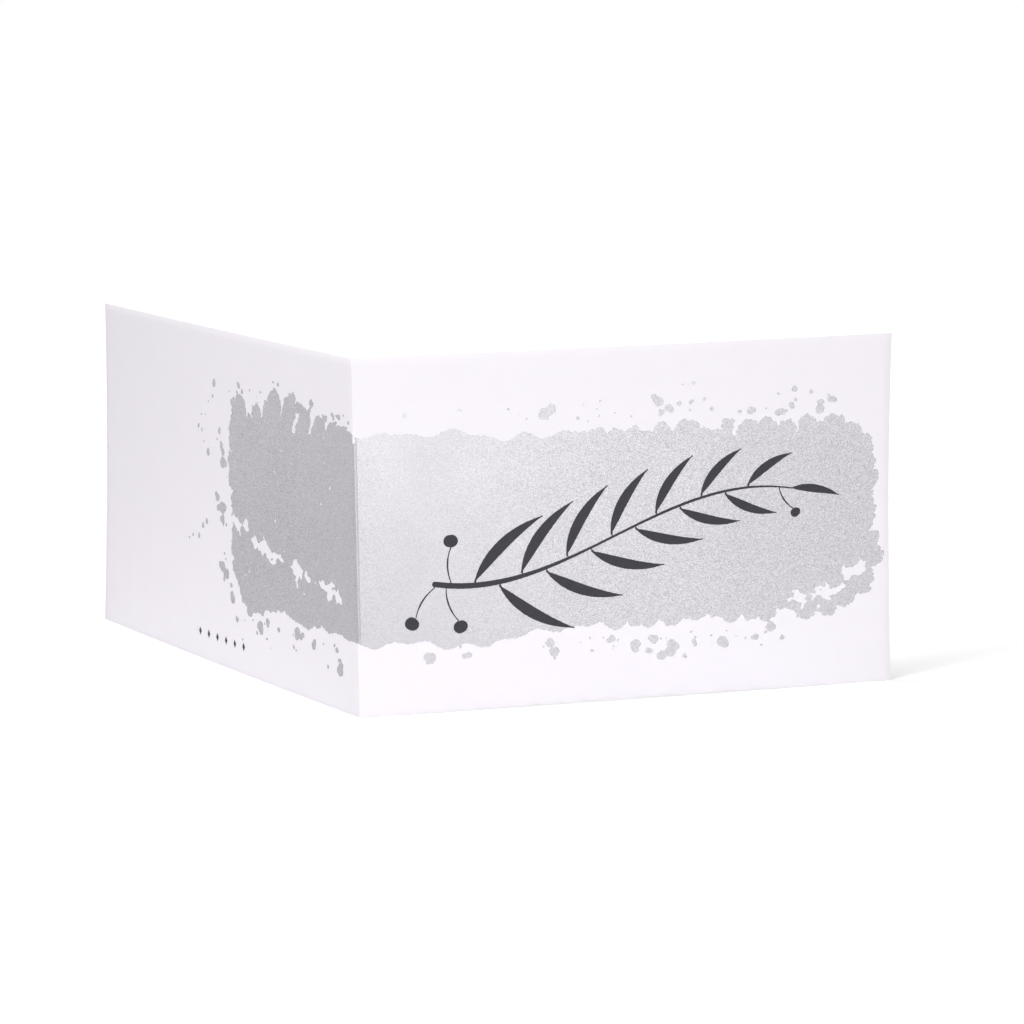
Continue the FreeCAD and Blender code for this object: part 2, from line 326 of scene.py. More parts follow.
def sheet_lattice(inset, depth):
    """Points of the whole lattice at a depth, with its outermost lines moved in by inset."""
    across, up = ACROSS_LINES.copy(), UP_LINES.copy()
    across[[0, -1]] += [inset, -inset]
    up[[0, -1]] += [inset, -inset]
    across, up = np.meshgrid(across, up, indexing="ij")
    share = depth / BOARD_THICKNESS
    out = crease(across) * (1 - share) - depth - bead(across) * share
    return sheet_point(across, up + arch(across, up), out)


def folded_sheet():
    wide, high = len(ACROSS_LINES), len(UP_LINES)
    number = np.arange(wide * high).reshape(wide, high)
    rim = np.concatenate([number[:, 0], number[-1, 1:], number[-2::-1, -1], number[0, -2:0:-1]])
    rings = rim_rings()
    lattices = [sheet_lattice(inset, depth).reshape(-1, 3) for inset, depth in rings]
    points = [lattices[0], lattices[-1]] + [lattice[rim] for lattice in lattices[1:-1]]
    ring_starts = [2 * number.size + step * len(rim) for step in range(len(rings) - 2)]
    loops = [rim] + [start + np.arange(len(rim)) for start in ring_starts] + [number.size + rim]
    corners = [number[:-1, :-1], number[1:, :-1], number[1:, 1:], number[:-1, 1:]]
    outer = np.stack([corner.ravel() for corner in corners], axis=1)
    strips = [np.stack([a, np.roll(a, -1), np.roll(b, -1), b], axis=1) for a, b in zip(loops, loops[1:])]
    faces = np.concatenate([outer, outer + number.size] + strips)
    boards = [white_board, cut_board]
    piece = make_piece("card_sheet", np.concatenate(points), faces.tolist(), boards)
    cut = np.zeros(len(faces), dtype=np.int32)
    cut[2 * len(outer):] = 1
    piece.data.polygons.foreach_set("material_index", cut)
    return piece


card_sheet = folded_sheet()
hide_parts("card")

# %% [markdown]
# Drawing with a field
#
# Brushed ink has an outline nobody would place by hand: lobes, notches, drops and bare spots.
# So each ink starts as a field over the flat sheet, a number that is positive where there is
# ink and counts the millimetres to its edge. Shapes are added by taking the greater of two
# fields, and bare places are cut by taking the lesser. The line where the field is zero is the
# edge. It is traced cell by cell, filled with triangles and stood on the card's surface.

# %% Trace the zero line of a field
SNAP = 0.06


def traced(field, across, up):
    """Points of the zero line, and pairs of them that join up in a cell of the grid."""
    inside = field > 0
    crossings, numbers, total = [], [], 0
    for axis, (before, after) in enumerate([(field[:-1], field[1:]), (field[:, :-1], field[:, 1:])]):
        crossed = (before > 0) != (after > 0)
        number = np.full(crossed.shape, -1)
        number[crossed] = total + np.arange(crossed.sum())
        total += crossed.sum()
        i, j = np.nonzero(crossed)
        share = np.clip(before[crossed] / (before[crossed] - after[crossed]), SNAP, 1 - SNAP)
        step = np.array([share, 0 * share]) if axis == 0 else np.array([0 * share, share])
        crossings.append(np.stack([i + step[0], j + step[1]], axis=1))
        numbers.append(number)
    places = np.concatenate(crossings) * (across[1] - across[0]) + (across[0], up[0])
    lower, right, upper, left = numbers[0][:, :-1], numbers[1][1:], numbers[0][:, 1:], numbers[1][:-1]
    sides = np.stack([lower, right, upper, left], axis=-1)
    hit = sides >= 0
    two = hit.sum(-1) == 2
    pairs = [sides[two][hit[two]].reshape(-1, 2)]
    centre = (field[:-1, :-1] + field[1:, :-1] + field[1:, 1:] + field[:-1, 1:]) / 4
    joined = (centre > 0) == inside[:-1, :-1]
    four = hit.all(-1)
    for saddle, order in ((four & joined, [0, 1, 2, 3]), (four & ~joined, [0, 3, 1, 2])):
        pairs.append(sides[saddle][:, order].reshape(-1, 2))
    return places, np.concatenate(pairs)


# %% Fill the line with triangles
SAME_PLACE = 1e-7


def filled(places, pairs, inner):
    """Triangles inside the zero line, and the line's own edges, by even and odd crossings."""
    spots = [Vector(place) for place in np.concatenate([places, inner])]
    found = delaunay_2d_cdt(spots, pairs.tolist(), [], 0, SAME_PLACE)
    corners, edges, triangles, line_of = found[0], found[1], found[2], found[4]
    line = {frozenset(edge) for edge, source in zip(edges, line_of) if source}
    beside = {}
    for number, triangle in enumerate(triangles):
        for a, b in zip(triangle, triangle[1:] + triangle[:1]):
            beside.setdefault(frozenset((a, b)), []).append(number)
    wet = {}
    queue = []
    for edge, owners in beside.items():
        if len(owners) == 1 and owners[0] not in wet:
            wet[owners[0]] = edge in line
            queue.append(owners[0])
    while queue:
        number = queue.pop()
        triangle = triangles[number]
        for a, b in zip(triangle, triangle[1:] + triangle[:1]):
            edge = frozenset((a, b))
            for other in beside[edge]:
                if other not in wet:
                    wet[other] = wet[number] != (edge in line)
                    queue.append(other)
    kept = [triangle for number, triangle in enumerate(triangles) if wet[number]]
    return np.array([tuple(corner) for corner in corners]), kept


# %% Stand a drawing on the card as a film of ink
SUNK = 0.08
FOLD_COLUMNS = both_sides([0, 0.12, 0.24, 0.36, 0.48, 0.6, 0.72, 0.84, 1.0, 1.3, 2.0])
NEXT_COLUMN = 3.0


def ink_film(name, field, low, high, pitch, mesh_step, thickness, material):
    """A closed film over the part of a rectangle, from low to high, where the field is positive."""
    across = np.arange(low[0], high[0], pitch)
    up = np.arange(low[1], high[1], pitch)
    places, pairs = traced(field(*np.meshgrid(across, up, indexing="ij")), across, up)
    front_columns = np.arange(NEXT_COLUMN, high[0], mesh_step)
    back_columns = -np.arange(NEXT_COLUMN, -low[0], mesh_step)
    columns = np.concatenate([front_columns, back_columns, FOLD_COLUMNS])
    inner = np.meshgrid(columns, np.arange(low[1], high[1], mesh_step), indexing="ij")
    well_inside = field(*inner) > pitch
    inner = np.stack([axis[well_inside] for axis in inner], axis=1)
    corners, triangles = filled(places, pairs, inner)
    used = sorted({corner for triangle in triangles for corner in triangle})
    corners = corners[used]
    number = {old: new for new, old in enumerate(used)}
    top = [[number[corner] for corner in triangle] for triangle in triangles]
    base = [[corner + len(used) for corner in reversed(triangle)] for triangle in top]
    heading = {(a, b) for triangle in top for a, b in zip(triangle, triangle[1:] + triangle[:1])}
    walls = [[b, a, a + len(used), b + len(used)] for a, b in sorted(heading) if (b, a) not in heading]
    points = [print_point(corners[:, 0], corners[:, 1], out) for out in (thickness, -SUNK)]
    return make_piece(name, np.concatenate(points), top + base + walls, [material])


# %% [markdown]
# Noise and dabs
#
# Two things make an ink edge look brushed. Smooth noise, in waves of a few sizes, pushes the
# edge in and out. And a brush leaves its marks as dabs: a stroke is a row of dabs that swell
# and thin, a splash is one. Both are small functions over the same flat coordinates.

# %% Smooth noise on the flat sheet
NOISE_CELLS = 64
NOISE_GAIN = 1.5


def ruffle(across, up, size, seed):
    """Smooth noise, about -1 to 1, that changes over a length of about size millimetres."""
    turns = np.random.default_rng(seed).uniform(0, 2 * math.pi, (NOISE_CELLS, NOISE_CELLS))
    i, j = np.floor(across / size).astype(int), np.floor(up / size).astype(int)
    a, b = across / size - i, up / size - j
    fade_a, fade_b = (t**3 * (t * (6 * t - 15) + 10) for t in (a, b))
    total = 0
    for right in (0, 1):
        for above in (0, 1):
            turn = turns[(i + right) % NOISE_CELLS, (j + above) % NOISE_CELLS]
            weight = (fade_a if right else 1 - fade_a) * (fade_b if above else 1 - fade_b)
            total = total + weight * (np.cos(turn) * (a - right) + np.sin(turn) * (b - above))
    return NOISE_GAIN * total


# %% Dabs of a brush
DAB_MARGIN = 1.0


def dabbed(field, across, up, path, widths):
    """The field with a stroke added: a path of points, and the brush's half width at each."""
    path, widths = np.asarray(path, float), np.asarray(widths, float)
    if len(path) == 1:
        path, widths = np.repeat(path, 2, axis=0), np.repeat(widths, 2)
    for a, b, width_a, width_b in zip(path, path[1:], widths, widths[1:]):
        reach = max(width_a, width_b) + DAB_MARGIN
        low, high = np.minimum(a, b) - reach, np.maximum(a, b) + reach
        near = (across > low[0]) & (across < high[0]) & (up > low[1]) & (up < high[1])
        if not near.any():
            continue
        x, y = across[near] - a[0], up[near] - a[1]
        run = b - a
        share = np.clip((x * run[0] + y * run[1]) / max(run @ run, 1e-9), 0, 1)
        distance = np.hypot(x - share * run[0], y - share * run[1])
        field[near] = np.maximum(field[near], width_a + share * (width_b - width_a) - distance)
    return field


# %% [markdown]
# The silver band's field
#
# The band is a rounded rectangle wrapped round the fold. The construction model ruffles its
# edge with four waves, and this field starts a little inside the same edge. Near the fold the
# edge only swells. Towards the ends a loaded brush left round lobes with sharp notches between
# them, so round dabs are set side by side there. Leaf-shaped marks of the brush's tip stand on
# the back cover's band. Billowed noise, the absolute value of smooth noise, crinkles them all.

# %% Sizes of the band
BAND_LEFT, BAND_RIGHT = -80.0, 166.0
BAND_LOW, BAND_HIGH = 21.0, 86.5
BAND_CORNER = 17.0
RAG = 1.0
# Each wave's count round the band, weight and start angle
RAG_WAVES = [(7, 0.9, 0.4), (17, 0.8, 2.2), (31, 0.7, 4.1), (53, 0.6, 1.0)]
STREAK_LENGTH, STREAK_HEIGHT = 19.0, 3.9
# Each streak's middle across and up, and its share of the full length
STREAKS = [
    (-54.0, 43.0, 1.1), (-35.0, 39.5, 0.9), (-16.0, 36.5, 0.6), (-71.0, 49.0, 0.5),
    (143.0, 29.0, 0.9), (158.0, 36.0, 0.5),
]
STREAK_SLOPE = 0.16
FLECKS = 16
FLECK_LENGTH = 3.2
FLECKS_FROM, FLECKS_SPAN = 0.5, 0.83
GOLDEN_SHARE = 0.618034

WIDE_RUN = BAND_RIGHT - BAND_LEFT - 2 * BAND_CORNER
HIGH_RUN = BAND_HIGH - BAND_LOW - 2 * BAND_CORNER
QUARTER = math.pi / 2 * BAND_CORNER
ROUND = 2 * (WIDE_RUN + HIGH_RUN) + 4 * QUARTER


# %% The plain band with the construction model's waves
def band_share(across, up):
    """How far round the band's edge the nearest point lies, and the distance inside that edge."""
    x = np.clip(across, BAND_LEFT + BAND_CORNER, BAND_RIGHT - BAND_CORNER)
    y = np.clip(up, BAND_LOW + BAND_CORNER, BAND_HIGH - BAND_CORNER)
    right, above = across - x, up - y
    turn = np.arctan2(right, -above) % (2 * math.pi)
    quarter = np.floor(turn / (math.pi / 2) + 1e-9).astype(int) % 4
    level, upright = right == 0, above == 0
    straight = np.select(
        [level & (above < 0), upright & (right > 0), level & (above > 0), upright & (right < 0)],
        [
            x - BAND_LEFT - BAND_CORNER,
            WIDE_RUN + QUARTER + y - BAND_LOW - BAND_CORNER,
            WIDE_RUN + HIGH_RUN + 2 * QUARTER + BAND_RIGHT - BAND_CORNER - x,
            2 * WIDE_RUN + HIGH_RUN + 3 * QUARTER + BAND_HIGH - BAND_CORNER - y,
        ],
        -1.0,
    )
    corner_start = WIDE_RUN + np.array([0, HIGH_RUN, WIDE_RUN + HIGH_RUN, WIDE_RUN + 2 * HIGH_RUN])
    curved = corner_start[quarter] + turn * BAND_CORNER
    distance = np.where(straight >= 0, straight, curved)
    return distance / ROUND, BAND_CORNER - np.hypot(right, above)


# %% Points on the band's edge
def band_edge(share):
    """Point and outward direction at a share of the way round the plain band."""
    distance = share * ROUND
    point, heading = np.array([BAND_LEFT + BAND_CORNER, BAND_LOW]), 0.0
    for run in (WIDE_RUN, HIGH_RUN, WIDE_RUN, HIGH_RUN):
        along = np.array([math.cos(heading), math.sin(heading)])
        outward = np.array([along[1], -along[0]])
        if distance <= run:
            return point + along * distance, outward
        distance -= run
        centre = point + along * run - outward * BAND_CORNER
        if distance <= QUARTER:
            turn = heading - math.pi / 2 + distance / BAND_CORNER
            outward = np.array([math.cos(turn), math.sin(turn)])
            return centre + outward * BAND_CORNER, outward
        distance -= QUARTER
        heading += math.pi / 2
        turn = heading - math.pi / 2
        point = centre + np.array([math.cos(turn), math.sin(turn)]) * BAND_CORNER
    return point, outward


# %% Lobes along the wilder edge
CALM_PLACE, CALM_REACH, CALM_SHARE = 22.0, 60.0, 0.25
LOBE_RADIUS, LOBE_NECK = 3.6, 0.8
LOBE_SPACING = 1.6
LOBE_SIZES, LOBE_GAPS = (0.5, 1.35), (0.6, 1.3)
LOBE_REACHES = (-3.6, 0.2)
CALM_DRAW_IN = 3.0
LOBE_SEED = 8


def wildness(across):
    """0 where the band's edge is calm, near the fold, and 1 at the band's ends."""
    return np.clip(np.abs(across - CALM_PLACE) / CALM_REACH - CALM_SHARE, 0, 1)


def lobed(field, across, up):
    """The field with round lobes set side by side along the wilder parts of the band's edge."""
    lobes = np.random.default_rng(LOBE_SEED)
    share = 0.0
    while share < 1:
        point, outward = band_edge(share)
        radius = LOBE_RADIUS * lobes.uniform(*LOBE_SIZES)
        reach = lobes.uniform(*LOBE_REACHES) - CALM_DRAW_IN * (1 - wildness(point[0]))
        end = point + outward * (reach - radius)
        field = dabbed(field, across, up, [end - outward * 2 * radius, end], [LOBE_NECK * radius, radius])
        share += radius * LOBE_SPACING * lobes.uniform(*LOBE_GAPS) / ROUND
    return field


# %% Marks of the brush's tip
TIPS = 10
TIPS_FROM, TIPS_TO, TIPS_PEAK = -74.0, -11.0, -44.0
TIP_JITTER = 0.35
TIP_FOOT, TIP_TOP = BAND_HIGH - 8, BAND_HIGH - 3
TIP_LENGTH, TIP_HALF_WIDTH = 13.0, 2.9
TIP_LENGTHS, TIP_WIDTHS, TIP_LEANS = (0.45, 1), (0.7, 1.25), (-1.0, 8.0)
TIP_FALL = 0.65
# Shares of a tip's height, and the brush's half width there
TIP_SHAPE = [(0, 1.5), (0.45, 1.1), (0.75, 1.2), (1, 0.3)]
TIP_DROPS = 2
TIP_DROP_SIZE, TIP_DROP_SIZES = 0.45, (0.5, 1.1)
TIP_DROP_SPREAD, TIP_DROP_LIFTS = 1.5, (-0.5, 2.5)
TIP_SEED = 6


def brush_tips(field, across, up):
    """The field with leaf-shaped marks along the top of the back cover's band."""
    tips = np.random.default_rng(TIP_SEED)
    for index in range(TIPS):
        place = index + tips.uniform(-TIP_JITTER, TIP_JITTER)
        foot = TIPS_FROM + (TIPS_TO - TIPS_FROM) * place / (TIPS - 1)
        peak = 1 - TIP_FALL * abs(foot - TIPS_PEAK) / (TIPS_TO - TIPS_PEAK)
        height = TIP_TOP + TIP_LENGTH * tips.uniform(*TIP_LENGTHS) * peak
        lean = tips.uniform(*TIP_LEANS)
        width = TIP_HALF_WIDTH * tips.uniform(*TIP_WIDTHS)
        path = [(foot + share**2 * lean, TIP_FOOT + share * (height - TIP_FOOT)) for share, _ in TIP_SHAPE]
        field = dabbed(field, across, up, path, [swell * width for _, swell in TIP_SHAPE])
        for _ in range(TIP_DROPS):
            drop_across = foot + lean + tips.normal(0, TIP_DROP_SPREAD)
            drop_up = height + tips.uniform(*TIP_DROP_LIFTS)
            radius = TIP_DROP_SIZE * width * tips.uniform(*TIP_DROP_SIZES)
            field = dabbed(field, across, up, [(drop_across, drop_up)], [radius])
    return field


# %% [markdown]
# Drops and pinholes
#
# A loaded brush also throws ink off, and dust under the ink leaves pinholes. The largest flecks
# stand where the construction model has them. Finer drops could be scattered as small pieces,
# but they are ink of the same film, so they are dabs in the same field. Most of them lie where
# the edge is wild.

# %% Flecks, as in the construction model
def flecked(field, across, up):
    """The field with the model's flecks beside the band."""
    deepest = RAG * sum(weight for _, weight, _ in RAG_WAVES)
    for index in range(FLECKS):
        share = (FLECKS_FROM + FLECKS_SPAN * ((index * GOLDEN_SHARE) % 1)) % 1
        drift = (index * GOLDEN_SHARE**2 * 5) % 1
        point, outward = band_edge(share)
        centre = point + outward * (deepest + FLECK_LENGTH * (0.2 + drift))
        half_long = FLECK_LENGTH * (1 - 0.7 * drift) / 2
        reach = half_long * 0.45 * np.array([math.cos(7 * drift), math.sin(7 * drift)])
        path = [centre - reach, centre + reach]
        field = dabbed(field, across, up, path, [half_long * 0.5, half_long * 0.58])
    return field


# %% Finer drops and trails of drops
SPLASHES = 230
SPLASH_START, SPLASH_SPREAD, SPLASH_STRAY = 1.0, 2.8, 0.8
DROP_SIZES, BIG_DROP = (0.15, 0.36), 2.0
CALM_CHANCE = 0.15
# Each trail's start across and up, and its heading in radians
TRAILS = [(-92.0, 69.0, 2.6), (-87.0, 92.0, 3.9), (-94.0, 46.0, 3.4)]
TRAIL_DROPS = 5
TRAIL_STEP, TRAIL_STEPS = 3.6, (0.5, 1.4)
TRAIL_SIZES, TRAIL_SHRINK = (0.35, 1.15), 0.1
TRAIL_SWERVE = 0.45


def spattered(field, across, up, drops):
    """The field with fine drops beside the band, most of them where its edge is wild."""
    for _ in range(SPLASHES):
        share = (FLECKS_FROM + FLECKS_SPAN * drops.uniform()) % 1
        point, outward = band_edge(share)
        away = SPLASH_START + drops.exponential(SPLASH_SPREAD)
        centre = point + outward * away + drops.normal(0, SPLASH_STRAY, 2)
        radius = drops.uniform(*DROP_SIZES) + BIG_DROP * drops.uniform() ** 4
        path = [centre, centre + drops.normal(0, 0.5, 2) * radius]
        if drops.uniform() < CALM_CHANCE + wildness(point[0]):
            field = dabbed(field, across, up, path, [radius, 0.7 * radius])
    return field


def trailed(field, across, up, drops):
    """The field with short trails of drops, flicked off the brush beyond the band's left end."""
    for start_across, start_up, heading in TRAILS:
        centre = np.array([start_across, start_up])
        for index in range(TRAIL_DROPS):
            radius = drops.uniform(*TRAIL_SIZES) * (1 - TRAIL_SHRINK * index)
            path = [centre, centre + (0.2, 0.9 * radius)]
            field = dabbed(field, across, up, path, [radius, 0.7 * radius])
            turn = heading + drops.normal(0, TRAIL_SWERVE)
            step = TRAIL_STEP * drops.uniform(*TRAIL_STEPS)
            centre = centre + step * np.array([math.cos(turn), math.sin(turn)])
    return field


# %% Pinholes
PINHOLES = 14
HOLES_ACROSS, HOLES_UP = (-72, -3), (30, 78)
HOLE_SIZES = (0.2, 0.42)
FAR_FROM_INK = -9.0


def pricked(field, across, up, drops):
    """The field without the pinholes that dust leaves in the back cover's silver."""
    holes = np.full(field.shape, FAR_FROM_INK)
    for _ in range(PINHOLES):
        centre = np.array([drops.uniform(*HOLES_ACROSS), drops.uniform(*HOLES_UP)])
        radius = drops.uniform(*HOLE_SIZES)
        path = [centre, centre + np.array([0.1, 0.9]) * radius]
        holes = dabbed(holes, across, up, path, [radius, 0.6 * radius])
    return np.minimum(field, -holes)


# %% [markdown]
# All of it together
#
# The order matters. Lobes and tips come before the crinkles, so that the crinkles run along
# them too. Streaks are cut next, and the drops and pinholes come last, so that they stay round.

# %% The whole band
EDGE_INSET, CALM_INSET = 4.2, 0.15
SWELL_SIZE, SWELL_DEPTH, SWELL_SEED = 12.0, 1.5, 11
# Each crinkle's size, depth and seed
CRINKLES = [(2.8, 0.4, 12), (1.3, 0.22, 13)]
CALM_CRINKLE = 0.25
BILLOW_REST = 0.42
# Each ruffle of a streak's edge: its depth, size, squeeze upwards and seed
STREAK_RAGS = [(3.0, 4.2, 0.8, 16), (1.2, 1.6, 1.0, 17)]
STREAK_END = 1.3
EDGE_TOOTH, EDGE_TOOTH_SIZE, EDGE_TOOTH_SEED = 0.2, 1.2, 18
SPLASH_SEED = 21


def silver_field(across, up):
    """The whole band: its plain form, then lobes and tips, crinkles, streaks, drops and pinholes."""
    share, inside = band_share(across, up)
    waves = sum(weight * np.sin(2 * math.pi * count * share + start) for count, weight, start in RAG_WAVES)
    wild = wildness(across)
    field = inside + RAG * waves - EDGE_INSET * (CALM_INSET + (1 - CALM_INSET) * wild)
    field = field + (1 - wild) * SWELL_DEPTH * ruffle(across, up, SWELL_SIZE, SWELL_SEED)
    field = brush_tips(lobed(field, across, up), across, up)
    for size, depth, seed in CRINKLES:
        billow = np.abs(ruffle(across, up, size, seed)) / BILLOW_REST - 1
        field = field + (CALM_CRINKLE + wild) * depth * billow
    for middle, height, size in STREAKS:
        along = (across - middle) / (STREAK_LENGTH / 2 * size)
        slant = STREAK_SLOPE * (np.abs(across) - abs(middle))
        half_height = STREAK_HEIGHT / 2 * (1 - along**2)
        for depth, rag_size, squeeze, seed in STREAK_RAGS:
            half_height = half_height + depth * ruffle(across, squeeze * up, rag_size, seed)
        streak = half_height - np.abs(up - height - slant)
        field = np.minimum(field, -np.where(np.abs(along) < STREAK_END, streak, FAR_FROM_INK))
    drops = np.random.default_rng(SPLASH_SEED)
    field = spattered(flecked(field, across, up), across, up, drops)
    field = pricked(trailed(field, across, up, drops), across, up, drops)
    return field + EDGE_TOOTH * ruffle(across, up, EDGE_TOOTH_SIZE, EDGE_TOOTH_SEED)


# %% [markdown]
# Silver ink
#
# Metallic printing ink is ground aluminium flake in a clear binder. The flakes float level with
# the sheet, so the film mirrors a blurred room: bright where it faces the lamps and a flat grey
# where it doesn't, which no plain grey paint does. The flakes are microns wide. What shows at
# arm's length is their clumping, so the sparkle is drawn at 0.2 mm, as coarse as it has to be.
# Its strength is painted to follow the light: the sparkle is calmest just right of the fold, under
# the front silver's broad highlight from the low soft box, and grows away from it.

# %% Silver ink finish
FLAKE_SIZE = 0.2
CLUMP_SIZE = 0.3
PUDDLE_SIZE = 16.0
FLAKE_SHARE, CLUMP_SHARE = 0.8, 0.2
EVEN_GREY = 0.5
# The sparkle's strength is painted to follow the light: lowest at this place, under the front silver's
# highlight, and full beyond this reach from it.
HIGHLIGHT_CALM_PLACE, HIGHLIGHT_CALM_REACH = 15.0, 45.0
GRAIN_UNDER_HIGHLIGHT, GRAIN_OFF_HIGHLIGHT = 0.4, 1.05


def silver_finish():
    material, tree, shader = new_material("aluminium_flake_ink")
    where = add(tree, "ShaderNodeTexCoord").outputs["Object"]
    flakes = add(tree, "ShaderNodeTexVoronoi", {"Vector": where, "Scale": repeats(FLAKE_SIZE)})
    grey = add(tree, "ShaderNodeSeparateColor", {"Color": flakes.outputs["Color"]})
    clumps = add(tree, "ShaderNodeTexNoise", {
        "Vector": where, "Scale": repeats(CLUMP_SIZE), "Detail": 3.0,
    })
    puddles = add(tree, "ShaderNodeTexNoise", {
        "Vector": where, "Scale": repeats(PUDDLE_SIZE), "Detail": 1.0,
    })
    flake_part = add(tree, "ShaderNodeMath", {0: grey.outputs["Red"], 1: FLAKE_SHARE}, operation="MULTIPLY")
    both_parts = add(tree, "ShaderNodeMath", {
        0: clumps.outputs["Fac"], 1: CLUMP_SHARE, 2: flake_part.outputs[0],
    }, operation="MULTIPLY_ADD")
    # Painted light: the sparkle is calmed by its distance from the front silver's highlight.
    from_fold = add(tree, "ShaderNodeSeparateXYZ", {"Vector": where}).outputs["X"]
    past = add(tree, "ShaderNodeMath", {
        0: from_fold, 1: HIGHLIGHT_CALM_PLACE * MILLIMETRE,
    }, operation="SUBTRACT")
    run = add(tree, "ShaderNodeMath", {0: past.outputs[0]}, operation="ABSOLUTE")
    grain = add(tree, "ShaderNodeMapRange", {
        "Value": run.outputs[0], "From Max": HIGHLIGHT_CALM_REACH * MILLIMETRE,
        "To Min": GRAIN_UNDER_HIGHLIGHT, "To Max": GRAIN_OFF_HIGHLIGHT,
    })
    uneven = add(tree, "ShaderNodeMath", {0: both_parts.outputs[0], 1: EVEN_GREY}, operation="SUBTRACT")
    share = add(tree, "ShaderNodeMath", {
        0: uneven.outputs[0], 1: grain.outputs["Result"], 2: EVEN_GREY,
    }, operation="MULTIPLY_ADD")
    colour = add(tree, "ShaderNodeMix", {"Factor": share.outputs[0]}, data_type="RGBA")
    colour.inputs["A"].default_value = linear("#8b898d")
    colour.inputs["B"].default_value = linear("#c5c3c8")
    gloss = add(tree, "ShaderNodeMapRange", {
        "Value": puddles.outputs["Fac"], "From Min": 0.3, "From Max": 0.7,
        "To Min": 0.455, "To Max": 0.495,
    })
    bump = add(tree, "ShaderNodeBump", {
        "Height": clumps.outputs["Fac"], "Strength": 0.07, "Distance": 0.01 * MILLIMETRE,
    })
    tree.links.new(colour.outputs["Result"], shader.inputs["Base Color"])
    tree.links.new(gloss.outputs["Result"], shader.inputs["Roughness"])
    tree.links.new(bump.outputs["Normal"], shader.inputs["Normal"])
    shader.inputs["Metallic"].default_value = 0.9
    return material


silver_ink = silver_finish()

# %% Lay the silver band
SILVER_THICKNESS = 0.03

silver_film = ink_film(
    "silver_brushed_band", silver_field, low=(-150.0, 8.0), high=(169.0, 108.0),
    pitch=0.32, mesh_step=4.0, thickness=SILVER_THICKNESS, material=silver_ink,
)
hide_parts("silver_band")

# %% [markdown]
# Charcoal ink
#
# The drawing is carbon black pigment in a water-based binder, put on with a pointed brush. It
# dries to a near-black with a soft sheen, a little thinner and greyer where the brush ran dry,
# so the finish moves between two charcoals in streaks of about 2 mm.

# %% Charcoal ink finish
DRY_SIZE = 2.0


def charcoal_finish():
    material, tree, shader = new_material("carbon_black_brush_ink")
    where = add(tree, "ShaderNodeTexCoord").outputs["Object"]
    dry = add(tree, "ShaderNodeTexNoise", {
        "Vector": where, "Scale": repeats(DRY_SIZE), "Detail": 4.0,
    })
    colour = add(tree, "ShaderNodeMix", {"Factor": dry.outputs["Fac"]}, data_type="RGBA")
    colour.inputs["A"].default_value = linear("#242328")
    colour.inputs["B"].default_value = linear("#343339")
    bump = add(tree, "ShaderNodeBump", {
        "Height": dry.outputs["Fac"], "Strength": 0.4, "Distance": 0.01 * MILLIMETRE,
    })
    tree.links.new(colour.outputs["Result"], shader.inputs["Base Color"])
    tree.links.new(bump.outputs["Normal"], shader.inputs["Normal"])
    shader.inputs["Roughness"].default_value = 0.6
    shader.inputs["IOR"].default_value = 1.5
    shader.inputs["Specular IOR Level"].default_value = 0.35
    return material


charcoal_ink = charcoal_finish()

# %% [markdown]
# The sprig
#
# The sprig is drawn as a right hander would: the stem first, in one S from its cut end, then
# leaves on either side from the stem outwards, then the berries. Each mark is a path with a
# width that swells under pressure and ends in a hairline, so leaf and stem run into each other.

# %% Sizes of the sprig, the same as in the construction model
STEM_FOOT, STEM_TIP = np.array([24.0, 40.0]), np.array([136.0, 63.0])
STEM_SWAY = 16.0
STEM_WIDTH = 1.5
LEAVES = 13
LEAF_LENGTH, LEAF_BELLY = 30.0, 3.6
LEAF_ANGLE = 42.0
STROKE_GAP = 0.5
STALK_LENGTH, BERRY_RADIUS = 10.0, 2.2
# Each berry's share of the stem, side and angle
BERRIES = [(0.03, -1, 62.0), (0.0, -1, 112.0), (0.04, 1, 96.0), (0.97, -1, 48.0)]
HAIRLINE = 0.17
STROKE_STEPS = 26
INK_EDGE = 0.05


# %% Stem, leaves and berries as strokes
def left_of(direction):
    return np.array([-direction[1], direction[0]])


def stem_at(share):
    """Point and direction of the stem."""
    run = STEM_TIP - STEM_FOOT
    sway = left_of(run) / np.linalg.norm(run) * STEM_SWAY
    pulls = [STEM_FOOT, STEM_FOOT + run / 3 - sway, STEM_FOOT + run * 2 / 3 + sway, STEM_TIP]
    rest = 1 - share
    weights = [rest**3, 3 * rest**2 * share, 3 * rest * share**2, share**3]
    point = sum(pull * weight for pull, weight in zip(pulls, weights))
    slopes = [rest**2, 2 * rest * share, share**2]
    along = sum((after - before) * slope for before, after, slope in zip(pulls, pulls[1:], slopes))
    return point, along / np.linalg.norm(along)


def stem_half_width(share):
    return STEM_WIDTH / 2 * (1 - 0.7 * share)


def bowed(root, tip, curl, belly, press):
    """Path and widths of a stroke that swells to its belly, early if press is positive."""
    share = np.linspace(0, 1, STROKE_STEPS)
    run = tip - root
    sideways = left_of(run) / np.linalg.norm(run)
    path = root + np.outer(share, run) + np.outer(4 * curl * share * (1 - share), sideways)
    swell = 4 * share * (1 - share) * (1 + press * (0.5 - share))
    return path, np.maximum(belly / 2 * swell**0.9, HAIRLINE)


def beside_stem(share, side, angle):
    """The stem's middle, where a stroke starts beside it, and the direction in which it leaves."""
    point, along = stem_at(share)
    lean = math.radians(angle) * side
    heading = along * math.cos(lean) + left_of(along) * math.sin(lean)
    root = point + left_of(along) * side * (stem_half_width(share) + STROKE_GAP)
    return point, root, heading


